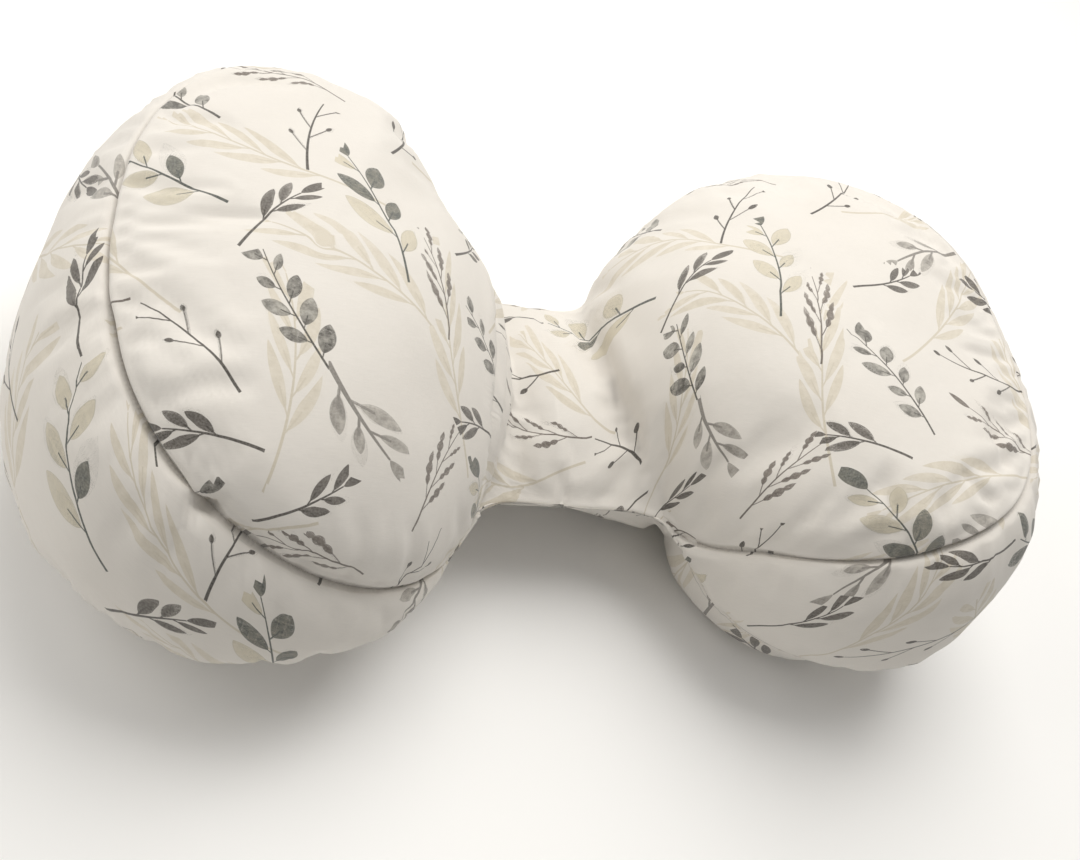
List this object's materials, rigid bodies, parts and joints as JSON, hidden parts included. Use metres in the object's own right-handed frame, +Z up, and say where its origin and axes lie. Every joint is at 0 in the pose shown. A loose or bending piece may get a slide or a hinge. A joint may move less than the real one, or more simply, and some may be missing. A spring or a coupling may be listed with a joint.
{
  "type": "nursing pillow",
  "caption": "Twin-lobe nursing pillow: two plump fabric lobes joined by a narrow flexible bridge, in a zipped removable cover.",
  "frame": {"origin": "middle of the pillow's length and depth, on the surface it rests on", "axes": "+X along the pillow's length towards the lobe with the zip, -Y towards the side the camera in the picture is nearest, +Z up"},
  "size_m": [0.6598, 0.3712, 0.2071],
  "materials": {
    "cover_fabric": "soft woven cotton, cream ground with a printed leaf pattern",
    "liner_fabric": "plain white woven lining",
    "zip_tape": "cream woven zip tape",
    "zip_coil": "cream nylon coil",
    "zip_metal": "satin metal slider, pull and stops"
  },
  "bodies": {
    "left_half": {"cover_left_top_panel": "cover_fabric", "cover_left_side_wall": "cover_fabric", "cover_left_bottom_panel": "cover_fabric", "inner_pillow_left": "liner_fabric"},
    "right_half": {"cover_right_top_panel": "cover_fabric", "cover_right_side_wall": "cover_fabric", "cover_right_bottom_panel": "cover_fabric", "inner_pillow_right": "liner_fabric", "zip_tape_upper": "zip_tape", "zip_tape_lower": "zip_tape", "zip_coil_upper": "zip_coil", "zip_coil_lower": "zip_coil", "zip_top_stop_upper": "zip_metal", "zip_top_stop_lower": "zip_metal", "zip_bottom_stop": "zip_metal"},
    "zip_slider": {"zip_slider_body": "zip_metal"},
    "zip_pull": {"zip_pull_tab": "zip_metal"}
  },
  "joints": [
    {"name": "bridge_bend", "type": "hinge", "parent": "left_half", "child": "right_half", "pos_m": [0, 0.00525, 0.07], "axis": [0, 0, 1], "range_deg": [-15, 15], "stiffness_Nm_per_rad": 0.5},
    {"name": "zip_travel", "type": "hinge", "parent": "right_half", "child": "zip_slider", "pos_m": [0.2015, -0.0468, 0.0463], "axis": [0, 0, 1], "range_deg": [-140, 0]},
    {"name": "pull_swing", "type": "hinge", "parent": "zip_slider", "child": "zip_pull", "pos_m": [0.31509, -0.00989, 0.04456], "axis": [0.6364, 0.2068, 0.7431], "range_deg": [0, 150]}
  ]
}
